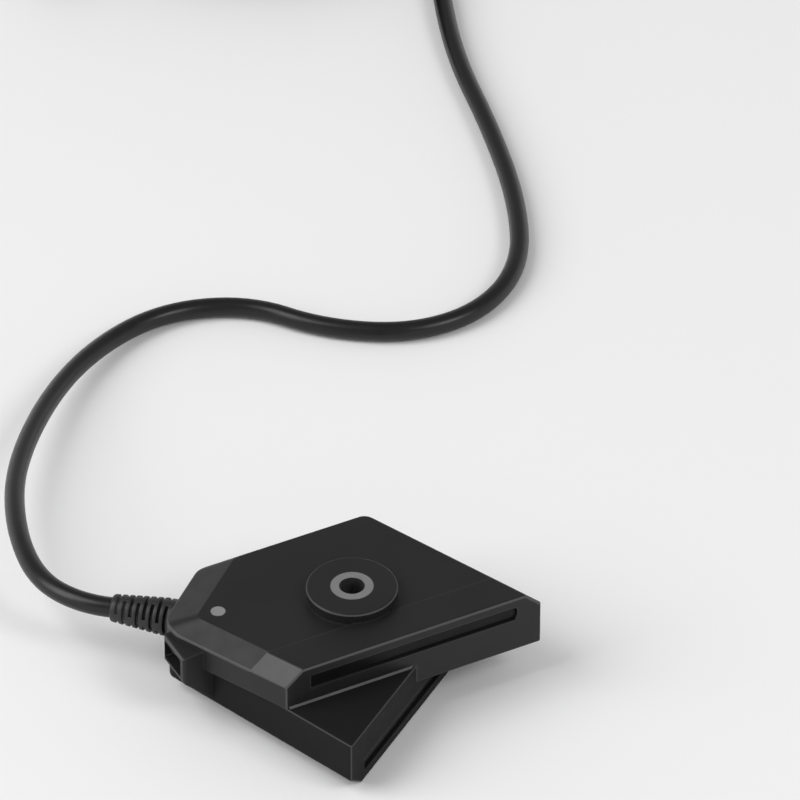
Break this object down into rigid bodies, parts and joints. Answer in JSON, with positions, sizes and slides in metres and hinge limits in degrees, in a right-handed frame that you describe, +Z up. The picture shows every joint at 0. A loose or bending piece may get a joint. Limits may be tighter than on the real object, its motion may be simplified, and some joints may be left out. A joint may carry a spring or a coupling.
{
  "type": "sonar transducer",
  "caption": "Sonar transducer of crossed bar-fronted housings with window slots, a through bore, ribbed strain relief and coiled lead with a lock-ring plug.",
  "frame": {"origin": "on the axis of the through bore, at the flat underside of the lower housing", "axes": "+Z up along the bore, +X along the upper window face, -Y the way the upper window faces"},
  "size_m": [0.3264, 0.5277, 0.0381],
  "materials": {
    "housing": "fine-grained moulded black, satin on the bevels",
    "window": "smooth cast urethane, nearly black",
    "seal_rubber": "smooth moulded rubber",
    "sleeve_metal": "turned, satin",
    "matching": "filled resin, ground flat",
    "element": "fired and diced",
    "backing": "loaded rubber, dull",
    "ribbon": "amber film over copper traces",
    "board": "green solder mask",
    "chip": "moulded package",
    "connector": "moulded, off-white",
    "screw": "turned",
    "stud": "turned face, satin",
    "bead": "glazed bead",
    "relief": "moulded elastomer, satin",
    "jacket": "smooth extruded jacket, satin",
    "wire": "insulated wire",
    "tie": "hook-and-loop strap",
    "plug_plastic": "moulded, satin",
    "insert": "moulded, smooth",
    "pin": "plated"
  },
  "bodies": {
    "transducer": {"upper_housing": "housing", "lower_housing": "housing", "seam_gasket": "seal_rubber", "mount_sleeve": "sleeve_metal", "sleeve_seals": "seal_rubber", "forward_window": "window", "lower_window": "window", "forward_matching_layer": "matching", "lower_matching_layer": "matching", "forward_elements": "element", "lower_elements": "element", "forward_backing": "backing", "lower_backing": "backing", "forward_flex": "ribbon", "lower_flex": "ribbon", "main_board": "board", "board_chips": "chip", "attitude_sensor": "chip", "board_connector": "connector", "board_screws": "screw", "temperature_stud": "stud", "thermistor": "bead", "cable_gland": "seal_rubber", "strain_relief": "relief", "cable_tail": "jacket", "wire_loom": "wire", "cable": "jacket", "cable_end": "jacket", "cable_coil": "jacket", "coil_ties": "tie", "plug_boot": "relief", "plug_body": "plug_plastic", "plug_insert": "insert", "plug_pins": "pin", "plug_seal": "seal_rubber"},
    "lock_ring": {"plug_lock_ring": "plug_plastic"}
  },
  "joints": [
    {"name": "lock_ring_turn", "type": "hinge", "parent": "transducer", "child": "lock_ring", "pos_m": [0.08816, 0.40483, 0.0108], "axis": [-0.6178, -0.7863, 0], "continuous": true}
  ]
}
